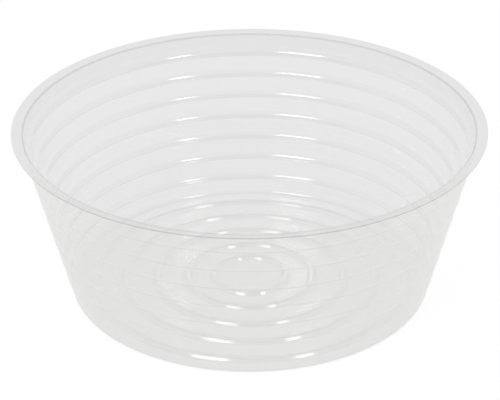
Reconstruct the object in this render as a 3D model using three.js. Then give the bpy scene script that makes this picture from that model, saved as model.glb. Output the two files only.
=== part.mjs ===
// Deep plant saucer: one round tray of thin clear vinyl sheet, vacuum-formed over a stepped mould.
// It stands under a plant pot and holds the water that drains from it.
// Sizes are in millimetres, +Z is up, and the origin is the middle of the flat underside.
// Radii and heights are those of the middle of the sheet.
import * as THREE from 'three';

// Sheet
const sheetThickness = 0.6;

// Rim flange, which rises a little from the wall to its cut edge
const rimDiameter = 266;
const flangeWidth = 6.4;
const flangeRise = 0.6;
const flangeCreaseRadius = 0.6;

// Wall, bands that lean in a little and end in sloped ledges with a rounded shoulder and a sharper toe
const firstBandDepth = 10.2;
const ledgeCount = 7;
const ledgePitch = 12.7;
const ledgeWidth = 2.6;
const ledgeDrop = 2.7;
const ledgeShoulderRadius = 4.4;
const ledgeToeRadius = 0.6;
const bandLeanDegrees = 3.6;
const lastBandDepth = 10.2;
const baseCornerRadius = 3.5;

// Floor, flat with round ridges that hold the pot above the water
const outerRidgeInset = 12.9;
const ridgePitch = 18.1;
const ridgeHeight = 2.3;
const ridgeFootWidth = 5.2;
const ridgeTopWidth = 2;
const centreRingRadius = 20.8;

// Facets round the tray, and straight steps in each rounded corner
const facetsAround = 48;
const stepsPerCorner = 1;
const stepsAtBaseCorner = 3;

// A corner of the section: the sheet turns there with the given radius, in the given steps.
function corner(radius, height, round = 0, steps = stepsPerCorner) {
  return { at: new THREE.Vector2(radius, height), round, steps };
}

// Corners of the wall, from the rim's cut edge down to the floor.
function wallCorners() {
  const lean = Math.tan(THREE.MathUtils.degToRad(bandLeanDegrees));
  const ledgesHeight = (ledgeCount - 1) * ledgePitch + ledgeDrop;
  const floorHeight = sheetThickness / 2;
  let height = floorHeight + lastBandDepth + ledgesHeight + firstBandDepth;
  let radius = rimDiameter / 2 - flangeWidth;
  const corners = [corner(rimDiameter / 2, height + flangeRise), corner(radius, height, flangeCreaseRadius)];
  for (let ledge = 0; ledge < ledgeCount; ledge += 1) {
    const bandDepth = ledge === 0 ? firstBandDepth : ledgePitch - ledgeDrop;
    height -= bandDepth;
    radius -= bandDepth * lean;
    corners.push(corner(radius, height, ledgeShoulderRadius));
    height -= ledgeDrop;
    radius -= ledgeWidth;
    corners.push(corner(radius, height, ledgeToeRadius));
  }
  radius -= lastBandDepth * lean;
  corners.push(corner(radius, floorHeight, baseCornerRadius, stepsAtBaseCorner));
  return corners;
}

// Radii of the floor's ridges, from the one by the wall to the ring round the centre disc.
function ridgeRadii(floorRadius) {
  const radii = [];
  const clearOfRing = centreRingRadius + 2 * ridgeFootWidth;
  for (let ridge = floorRadius - outerRidgeInset; ridge >= clearOfRing; ridge -= ridgePitch) {
    radii.push(ridge);
  }
  return [...radii, centreRingRadius];
}

// Corners of the floor, from the wall to the centre, over one ridge after another.
function floorCorners(floorRadius) {
  const low = sheetThickness / 2;
  const high = low + ridgeHeight;
  const ridges = ridgeRadii(floorRadius).flatMap((ridge) => [
    corner(ridge + ridgeFootWidth / 2, low),
    corner(ridge + ridgeTopWidth / 2, high),
    corner(ridge - ridgeTopWidth / 2, high),
    corner(ridge - ridgeFootWidth / 2, low),
  ]);
  return [...ridges, corner(0, low)];
}

// The middle of the sheet as one line of points, with its corners rounded.
function roundedLine(corners) {
  const points = [];
  corners.forEach(({ at, round, steps }, index) => {
    const before = corners[index - 1];
    const after = corners[index + 1];
    if (!before || !after || round === 0) {
      points.push(at);
      return;
    }
    const back = before.at.clone().sub(at);
    const ahead = after.at.clone().sub(at);
    const halfTurn = (Math.PI - Math.abs(back.angleTo(ahead))) / 2;
    const cut = Math.min(round * Math.tan(halfTurn), back.length() * 0.45, ahead.length() * 0.45);
    const start = at.clone().add(back.setLength(cut));
    const end = at.clone().add(ahead.setLength(cut));
    points.push(...new THREE.QuadraticBezierCurve(start, at, end).getPoints(steps));
  });
  return points;
}

// The line moved sideways by half the sheet, to its left as one walks along it.
function movedSideways(points, distance) {
  return points.map((point, index) => {
    const before = points[Math.max(index - 1, 0)];
    const after = points[Math.min(index + 1, points.length - 1)];
    const along = [point.clone().sub(before), after.clone().sub(point)];
    const runs = along.filter((run) => run.length() > 0).map((run) => run.normalize());
    const sides = runs.map((run) => new THREE.Vector2(-run.y, run.x));
    const middle = sides.reduce((sum, side) => sum.clone().add(side)).normalize();
    return point.clone().addScaledVector(middle, distance / middle.dot(sides[0]));
  });
}

// The closed section: out along the underside, round the cut edge and back along the top.
function sheetSection() {
  const wall = wallCorners();
  const floorRadius = wall[wall.length - 1].at.x;
  const middle = roundedLine([...wall, ...floorCorners(floorRadius)]);
  const underside = movedSideways(middle, sheetThickness / 2).reverse();
  const top = movedSideways(middle, -sheetThickness / 2);
  return [...underside, ...top];
}

function saucerShell() {
  const geometry = new THREE.LatheGeometry(sheetSection(), facetsAround);
  geometry.rotateX(Math.PI / 2);
  const clearVinyl = new THREE.MeshStandardMaterial({
    color: 0xe6e6e3, roughness: 0.12, metalness: 0, transparent: true, opacity: 0.35,
  });
  const shell = new THREE.Mesh(geometry, clearVinyl);
  shell.name = 'saucer_shell';
  return shell;
}

const saucer = new THREE.Group();
saucer.add(saucerShell());

export default saucer;
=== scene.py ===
import math

import bmesh
import bpy
from mathutils import Matrix, Vector


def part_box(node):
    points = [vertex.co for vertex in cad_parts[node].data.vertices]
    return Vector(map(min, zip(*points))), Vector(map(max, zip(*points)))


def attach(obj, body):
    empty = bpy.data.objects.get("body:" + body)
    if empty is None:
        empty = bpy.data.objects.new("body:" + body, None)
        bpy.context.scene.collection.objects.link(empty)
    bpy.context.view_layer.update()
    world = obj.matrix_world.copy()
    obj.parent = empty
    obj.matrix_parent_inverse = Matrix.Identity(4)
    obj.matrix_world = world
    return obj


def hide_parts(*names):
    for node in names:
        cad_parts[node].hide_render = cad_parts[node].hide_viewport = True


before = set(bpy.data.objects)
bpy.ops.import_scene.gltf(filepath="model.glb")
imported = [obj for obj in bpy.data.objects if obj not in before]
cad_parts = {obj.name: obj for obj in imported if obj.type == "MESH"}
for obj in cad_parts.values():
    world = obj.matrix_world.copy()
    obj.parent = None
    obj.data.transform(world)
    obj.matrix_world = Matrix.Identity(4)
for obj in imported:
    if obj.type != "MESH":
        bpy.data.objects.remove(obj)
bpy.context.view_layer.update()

scene = bpy.context.scene
scene.view_settings.view_transform = "Standard"


# Camera: a long lens on a stand in front of the saucer, looking down into it at 28 degrees.
# Its place, its lens and its slight roll were worked out from the rim, the ledges and the floor's rings.
camera_aim = Vector((0.0001, 0.0, 0.0509))
camera_distance = 1.0873
camera_elevation = math.radians(28.18)
camera_roll = math.radians(-0.28)
camera_away = Vector((0.0, -math.cos(camera_elevation), math.sin(camera_elevation)))
camera_data = bpy.data.cameras.new("camera")
camera_data.sensor_width = 36.0
camera_data.lens = 136.65
camera_data.clip_start = 0.05
camera = bpy.data.objects.new("camera", camera_data)
camera.matrix_world = (
    Matrix.Translation(camera_aim + camera_away * camera_distance)
    @ camera_away.to_track_quat("Z", "Y").to_matrix().to_4x4()
    @ Matrix.Rotation(camera_roll, 4, "Z")
)
scene.collection.objects.link(camera)
scene.camera = camera


# Studio ground: a wide white table top under the saucer.
# It takes the saucer's shadow, and light of its own, for the eye and the gloss alone, brings it up to white.
ground_half_width, ground_drop = 6.0, 0.0002
ground_albedo, ground_lift = 0.3, 0.8
room_white = 0.835


def add_node(tree, kind, values=None, links=None, **settings):
    """Adds a node with its settings, its sockets' values, and the outputs that its sockets are linked to."""
    made = tree.nodes.new(kind)
    for name, value in settings.items():
        setattr(made, name, value)
    for socket, value in (values or {}).items():
        made.inputs[socket].default_value = value
    for socket, source in (links or {}).items():
        tree.links.new(source, made.inputs[socket])
    return made


def new_tree(owner):
    """The emptied node tree of a material, a light or the world."""
    owner.use_nodes = True
    owner.node_tree.nodes.clear()
    return owner.node_tree


def seen_and_level(tree):
    """Two sockets for the white surroundings, from the kind of ray that meets them.

    The first is 1 for rays from the camera, and for those that a glossy or clear surface sends on.
    The second is the white's level: 1 where the camera looks straight at it, and behind clear sheet
    and in its gloss the pale grey that it has in the room.
    """
    path = add_node(tree, "ShaderNodeLightPath")
    glossy = add_node(tree, "ShaderNodeMath", operation="MAXIMUM",
                      links={0: path.outputs["Is Camera Ray"], 1: path.outputs["Is Glossy Ray"]})
    seen = add_node(tree, "ShaderNodeMath", operation="MAXIMUM",
                    links={0: glossy.outputs[0], 1: path.outputs["Is Transmission Ray"]})
    bare = add_node(tree, "ShaderNodeMath", {1: 1.0}, {0: path.outputs["Transparent Depth"]},
                    operation="LESS_THAN")
    direct = add_node(tree, "ShaderNodeMath", operation="MULTIPLY",
                      links={0: path.outputs["Is Camera Ray"], 1: bare.outputs[0]})
    level = add_node(tree, "ShaderNodeMapRange", {"To Min": room_white, "To Max": 1.0},
                     {"Value": direct.outputs[0]})
    return seen.outputs[0], level.outputs[0]


ground_mesh = bmesh.new()
bmesh.ops.create_grid(ground_mesh, x_segments=1, y_segments=1, size=ground_half_width)
ground_data = bpy.data.meshes.new("ground")
ground_mesh.to_mesh(ground_data)
ground_mesh.free()
ground = bpy.data.objects.new("ground", ground_data)
ground.location.z = -ground_drop
scene.collection.objects.link(ground)
ground_paint = bpy.data.materials.new("matt_white_table")
tree = new_tree(ground_paint)
seen, level = seen_and_level(tree)
shade = add_node(tree, "ShaderNodeMath", {1: ground_albedo}, {0: level}, operation="MULTIPLY")
matt = add_node(tree, "ShaderNodeBsdfDiffuse", links={"Color": shade.outputs[0]})
lift = add_node(tree, "ShaderNodeMath", {1: ground_lift}, {0: seen}, operation="MULTIPLY")
dimmed = add_node(tree, "ShaderNodeMath", links={0: lift.outputs[0], 1: level}, operation="MULTIPLY")
glow = add_node(tree, "ShaderNodeEmission", links={"Strength": dimmed.outputs[0]})
both = add_node(tree, "ShaderNodeAddShader", links={0: matt.outputs[0], 1: glow.outputs[0]})
add_node(tree, "ShaderNodeOutputMaterial", links={"Surface": both.outputs[0]})
ground_data.materials.append(ground_paint)


# Studio light: even light from all round, and two softboxes above the camera, a broad one on its left
# and a narrow one on its right.
# They make the long white glints along the ledges and on the slopes of the floor's ridges.
room_light = 0.55
softbox_distance, softbox_height = 4.5, 2.0
softbox_elevation = math.radians(42.0)
softbox_radiance = 6.5
side_fade, end_fade = 0.15, 0.5
world = bpy.data.worlds.new("studio")
scene.world = world
tree = new_tree(world)
seen, level = seen_and_level(tree)
backdrop = add_node(tree, "ShaderNodeMath", links={0: seen, 1: level}, operation="MULTIPLY")
strength = add_node(tree, "ShaderNodeMath", {1: room_light}, {0: backdrop.outputs[0]}, operation="MAXIMUM")
room = add_node(tree, "ShaderNodeBackground", {"Color": (1.0, 1.0, 1.0, 1.0)},
                {"Strength": strength.outputs[0]})
add_node(tree, "ShaderNodeOutputWorld", links={"Surface": room.outputs[0]})


def softbox(name, azimuth, width):
    """A box light that faces the saucer, bright in its middle and fading to nothing at its edges.

    Its azimuth is measured at the saucer, rightwards from the camera. The fades are the shares of its
    width and of its height, in from each edge, over which the light comes up.
    """
    data = bpy.data.lights.new(name, "AREA")
    data.shape = "RECTANGLE"
    data.size = width
    data.size_y = softbox_height
    data.energy = softbox_radiance * math.pi * width * softbox_height
    tree = new_tree(data)
    face = add_node(tree, "ShaderNodeNewGeometry")
    spot = add_node(tree, "ShaderNodeSeparateXYZ", links={0: face.outputs["Parametric"]})
    fades = []
    for direction, fade in (("X", side_fade), ("Y", end_fade)):
        inwards = add_node(tree, "ShaderNodeMath", {1: 0.5}, {0: spot.outputs[direction]},
                           operation="PINGPONG")
        fades.append(add_node(tree, "ShaderNodeMapRange", {"From Max": fade}, {"Value": inwards.outputs[0]},
                              interpolation_type="SMOOTHSTEP"))
    faded = add_node(tree, "ShaderNodeMath", links={0: fades[0].outputs[0], 1: fades[1].outputs[0]},
                     operation="MULTIPLY")
    cloth = add_node(tree, "ShaderNodeEmission", links={"Strength": faded.outputs[0]})
    add_node(tree, "ShaderNodeOutputLight", links={"Surface": cloth.outputs[0]})
    box = bpy.data.objects.new(name, data)
    turn = math.radians(azimuth)
    outwards = math.cos(softbox_elevation)
    away = Vector((math.sin(turn) * outwards, -math.cos(turn) * outwards, math.sin(softbox_elevation)))
    facing = away.to_track_quat("Z", "Y").to_matrix().to_4x4()
    box.matrix_world = Matrix.Translation(away * softbox_distance) @ facing
    scene.collection.objects.link(box)


softbox("softbox_left", azimuth=-31.5, width=1.85)
softbox("softbox_right", azimuth=42.0, width=0.9)


# Studio curtain: cloth hung round the front and the sides and stretched overhead, open towards the back.
# It is mid grey below and nearly black at the top.
# Only the gloss shows it, as the grey lines that draw the ledges.
curtain_radius, curtain_hem, curtain_height = 6.0, 0.9, 7.2
curtain_opening = math.radians(50.0)
curtain_side_level, curtain_top_level, curtain_darkens_from = 0.5, 0.03, 5.4
curtain_eyelet, curtain_steps = 0.01, 48
curtain_mesh = bmesh.new()
section = [(curtain_radius, curtain_hem), (curtain_radius, curtain_height), (curtain_eyelet, curtain_height)]
hung = [curtain_mesh.verts.new((0.0, reach, rise)) for reach, rise in section]
for start, end in zip(hung, hung[1:]):
    curtain_mesh.edges.new((start, end))
bmesh.ops.rotate(curtain_mesh, verts=hung, matrix=Matrix.Rotation(curtain_opening / 2, 3, "Z"))
bmesh.ops.spin(curtain_mesh, geom=curtain_mesh.verts[:] + curtain_mesh.edges[:], cent=(0.0, 0.0, 0.0),
               axis=(0.0, 0.0, 1.0), dvec=(0.0, 0.0, 0.0), angle=2 * math.pi - curtain_opening,
               steps=curtain_steps)
curtain_data = bpy.data.meshes.new("curtain")
curtain_mesh.to_mesh(curtain_data)
curtain_mesh.free()
curtain = bpy.data.objects.new("curtain", curtain_data)
curtain.visible_camera = curtain.visible_diffuse = curtain.visible_shadow = False
scene.collection.objects.link(curtain)
curtain_cloth = bpy.data.materials.new("dark_cloth")
tree = new_tree(curtain_cloth)
hung_at = add_node(tree, "ShaderNodeTexCoord")
spot = add_node(tree, "ShaderNodeSeparateXYZ", links={0: hung_at.outputs["Object"]})
grey = add_node(tree, "ShaderNodeMapRange",
                {"From Min": curtain_darkens_from, "From Max": curtain_height,
                 "To Min": curtain_side_level, "To Max": curtain_top_level},
                {"Value": spot.outputs["Z"]})
glow = add_node(tree, "ShaderNodeEmission", links={"Strength": grey.outputs[0]})
add_node(tree, "ShaderNodeOutputMaterial", links={"Surface": glow.outputs[0]})
curtain_data.materials.append(curtain_cloth)


# Saucer: one sheet of clear PVC (vinyl), 0.6 mm thick, vacuum-formed over a stepped round mould and trimmed
# at the rim. The sheet's middle line is drawn from the rim to the centre, rounded, spun round the axis
# and given its thickness.
lowest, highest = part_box("saucer_shell")
rim_radius = highest.x
sheet_thickness = 0.0006
flange_width, flange_rise = 0.0064, 0.0006
ledge_count, ledge_pitch = 7, 0.0127
ledge_width, ledge_drop = 0.0026, 0.0027
band_lean = math.tan(math.radians(3.6))
first_band_depth = 0.0102
ridge_inset, ridge_pitch, centre_ring_radius = 0.0129, 0.0181, 0.0208
ridge_height, ridge_foot_width, ridge_top_width = 0.0023, 0.0052, 0.002
crease_cut, shoulder_cut, toe_cut, base_cut, ridge_cut = 0.0008, 0.0021, 0.0002, 0.0033, 0.0006
# The shares of painted shade and of haze at the crease and at the toes: the material tints them darker, so
# that they show as grey lines, and makes their gloss hazier.
crease_shade_and_haze, toe_shade_and_haze = 1.0, 0.6
steps_around = 192

sheet = bmesh.new()
shade_and_haze_mask = sheet.verts.layers.float.new("shade_and_haze_mask")
line = []


def corner(radius, height):
    """Adds the next corner of the sheet's middle line, joined to the one before."""
    vertex = sheet.verts.new((radius, 0.0, height))
    if line:
        sheet.edges.new((line[-1], vertex))
    line.append(vertex)
    return vertex


def rounded(corners, cut, segments, bend_shade=0.0):
    """Rounds corners of the line by an arc that starts and ends the given length from each.

    The arc's inner points carry the given share of painted shade, a darker tint that draws the bend as a
    line, and of haze in the gloss, for its material.
    """
    places = [vertex.co.copy() for vertex in corners]
    arcs = bmesh.ops.bevel(sheet, geom=corners, offset=cut, offset_type="OFFSET", segments=segments,
                           profile=0.5, affect="VERTICES", material=-1, clamp_overlap=False)["verts"]
    inner_reach = 0.99 * cut
    for vertex in arcs:
        if min((vertex.co - place).length for place in places) < inner_reach:
            vertex[shade_and_haze_mask] = bend_shade


height = highest.z - sheet_thickness / 2
corner(rim_radius, height)
radius = rim_radius - flange_width
height -= flange_rise
crease = corner(radius, height)
shoulders, toes = [], []
for ledge in range(ledge_count):
    band_depth = ledge_pitch - ledge_drop if ledge else first_band_depth
    height -= band_depth
    radius -= band_depth * band_lean
    shoulders.append(corner(radius, height))
    height -= ledge_drop
    radius -= ledge_width
    toes.append(corner(radius, height))
floor_height = lowest.z + sheet_thickness / 2
radius -= (height - floor_height) * band_lean
base = corner(radius, floor_height)
ridge_radii = []
ridge_radius = radius - ridge_inset
while ridge_radius > centre_ring_radius + ridge_pitch / 2:
    ridge_radii.append(ridge_radius)
    ridge_radius -= ridge_pitch
ridge_radii.append(centre_ring_radius)
foot, top = ridge_foot_width / 2, ridge_top_width / 2
ridges = []
for ridge_radius in ridge_radii:
    for aside, rise in ((foot, 0.0), (top, ridge_height), (-top, ridge_height), (-foot, 0.0)):
        ridges.append(corner(ridge_radius + aside, floor_height + rise))
corner(0.0, floor_height)
# The crease and the toes get painted shade and haze; the shoulders, the base and the ridges get none.
rounded([crease], crease_cut, segments=5, bend_shade=crease_shade_and_haze)
rounded(shoulders, shoulder_cut, segments=8)
rounded(toes, toe_cut, segments=3, bend_shade=toe_shade_and_haze)
rounded([base], base_cut, segments=8)
rounded(ridges, ridge_cut, segments=3)
bmesh.ops.spin(sheet, geom=sheet.verts[:] + sheet.edges[:], cent=(0.0, 0.0, 0.0), axis=(0.0, 0.0, 1.0),
               dvec=(0.0, 0.0, 0.0), angle=2 * math.pi, steps=steps_around, use_merge=True)
bmesh.ops.remove_doubles(sheet, verts=sheet.verts[:], dist=1e-6)
bmesh.ops.recalc_face_normals(sheet, faces=sheet.faces[:])
floor_face = min(sheet.faces, key=lambda face: face.calc_center_median().length)
if floor_face.normal.z < 0:
    bmesh.ops.reverse_faces(sheet, faces=sheet.faces[:])
for face in sheet.faces:
    face.smooth = True
for edge in sheet.edges:
    edge.smooth = not edge.is_boundary
saucer_data = bpy.data.meshes.new("clear_saucer")
sheet.to_mesh(saucer_data)
sheet.free()
saucer = bpy.data.objects.new("clear_saucer", saucer_data)
scene.collection.objects.link(saucer)
thickness = saucer.modifiers.new("sheet_thickness", "SOLIDIFY")
thickness.thickness = sheet_thickness
thickness.offset = 0.0
thickness.use_even_offset = True
thickness.use_quality_normals = True
thickness.material_offset = 1
thickness.material_offset_rim = 2

vinyl_ior = 1.53
wave_length = 0.04
wall_roughness, floor_roughness, bend_roughness = 0.1, 0.2, 0.6
floor_haze_full, floor_haze_end = sheet_thickness + 0.0001, 2 * sheet_thickness
rim_tint_start, rim_tint_full = highest.z - 0.0145, highest.z - 0.0065


def srgb(text):
    """The linear colour of an sRGB hex value such as "fcfcfc"."""
    shares = [int(text[start:start + 2], 16) / 255 for start in (0, 2, 4)]
    linear = [((share + 0.055) / 1.055) ** 2.4 if share > 0.04045 else share / 12.92 for share in shares]
    return (*linear, 1.0)


def clear_vinyl(name, flat, bend_shade, rim):
    """Clear PVC, calendered and vacuum-formed: it mirrors like a pane, is hardly grey and faintly wavy.

    The colours are what it leaves of the light behind it: where it is flat, towards the rim, and at the
    crease and the toes, which are darker there as a painted shade that draws them as lines. Its gloss is
    hazier at the crease and the toes, and a little on the flat of the floor, where it lay on the mould.
    """
    vinyl = bpy.data.materials.new(name)
    tree = new_tree(vinyl)
    side = add_node(tree, "ShaderNodeNewGeometry")
    place = add_node(tree, "ShaderNodeTexCoord")
    spot = add_node(tree, "ShaderNodeSeparateXYZ", links={0: place.outputs["Object"]})
    shade_and_haze_share = add_node(tree, "ShaderNodeAttribute", attribute_name="shade_and_haze_mask")
    waves = add_node(tree, "ShaderNodeTexNoise", {"Scale": 1 / wave_length, "Detail": 0.0},
                     {"Vector": place.outputs["Object"]})
    bump = add_node(tree, "ShaderNodeBump", {"Strength": 0.01, "Distance": 0.001},
                    {"Height": waves.outputs[0]})

    # The face that a ray comes in by mirrors and tints for the whole sheet, which as a pane of two faces
    # mirrors 2F / (1 + F). The face that the ray leaves by does nothing.
    front = add_node(tree, "ShaderNodeMath", {0: 1.0}, {1: side.outputs["Backfacing"]}, operation="SUBTRACT")
    fresnel = add_node(tree, "ShaderNodeFresnel", {"IOR": vinyl_ior}, {"Normal": bump.outputs[0]})
    one_more = add_node(tree, "ShaderNodeMath", {1: 1.0}, {0: fresnel.outputs[0]}, operation="ADD")
    twice = add_node(tree, "ShaderNodeMath", {1: 2.0}, {0: fresnel.outputs[0]}, operation="MULTIPLY")
    pane = add_node(tree, "ShaderNodeMath", operation="DIVIDE",
                    links={0: twice.outputs[0], 1: one_more.outputs[0]})
    mirrored = add_node(tree, "ShaderNodeMath", operation="MULTIPLY",
                        links={0: pane.outputs[0], 1: front.outputs[0]})

    # Sockets 6 and 7 of a Mix node are its two colours, and its output 2 is the mixed one.
    # Towards the rim the tint goes over to the rim colour, which from inside is a little greyer.
    near_rim = add_node(tree, "ShaderNodeMapRange", {"From Min": rim_tint_start, "From Max": rim_tint_full},
                        {"Value": spot.outputs["Z"]})
    flat_to_rim = add_node(tree, "ShaderNodeMix", {6: srgb(flat), 7: srgb(rim)}, {"Factor": near_rim.outputs[0]},
                     data_type="RGBA")
    # Painted shade: at the crease and the toes the tint goes darker, so that they show as grey lines.
    tint_with_painted_shade = add_node(tree, "ShaderNodeMix", {7: srgb(bend_shade)},
                    {"Factor": shade_and_haze_share.outputs["Fac"], 6: flat_to_rim.outputs[2]}, data_type="RGBA")
    colour = add_node(tree, "ShaderNodeMix", {6: srgb("ffffff")},
                      {"Factor": front.outputs[0], 7: tint_with_painted_shade.outputs[2]}, data_type="RGBA")
    through = add_node(tree, "ShaderNodeBsdfTransparent", links={"Color": colour.outputs[2]})

    bend_haze = add_node(tree, "ShaderNodeMapRange", {"To Min": wall_roughness, "To Max": bend_roughness},
                         {"Value": shade_and_haze_share.outputs["Fac"]})
    floor_haze = add_node(tree, "ShaderNodeMapRange",
                          {"From Min": floor_haze_full, "From Max": floor_haze_end,
                           "To Min": floor_roughness, "To Max": wall_roughness},
                          {"Value": spot.outputs["Z"]})
    haze = add_node(tree, "ShaderNodeMath", operation="MAXIMUM",
                    links={0: bend_haze.outputs[0], 1: floor_haze.outputs[0]})
    gloss = add_node(tree, "ShaderNodeBsdfGlossy", {"Color": srgb("ffffff")},
                     {"Normal": bump.outputs[0], "Roughness": haze.outputs[0]})
    surface = add_node(tree, "ShaderNodeMixShader",
                       links={0: mirrored.outputs[0], 1: through.outputs[0], 2: gloss.outputs[0]})
    add_node(tree, "ShaderNodeOutputMaterial", links={"Surface": surface.outputs[0]})
    return vinyl


# Painted shade: the crease and the toes are tinted darker, more from outside than from inside, and the cut
# edge is tinted grey all over, so that they show as grey lines.
saucer_data.materials.append(clear_vinyl("clear_vinyl_inside", flat="fcfcfc", bend_shade="eaeae8", rim="f6f6f6"))
saucer_data.materials.append(clear_vinyl("clear_vinyl_outside", flat="fbfbf9", bend_shade="cacac8", rim="fbfbf9"))
saucer_data.materials.append(clear_vinyl("clear_vinyl_cut_edge_painted_shade", flat="dcdcda", bend_shade="dcdcda", rim="dcdcda"))
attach(saucer, "root")
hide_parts("saucer_shell")

# Clear sheet lies over clear sheet here, so rays are let through many of its faces.
scene.cycles.transparent_max_bounces = 32
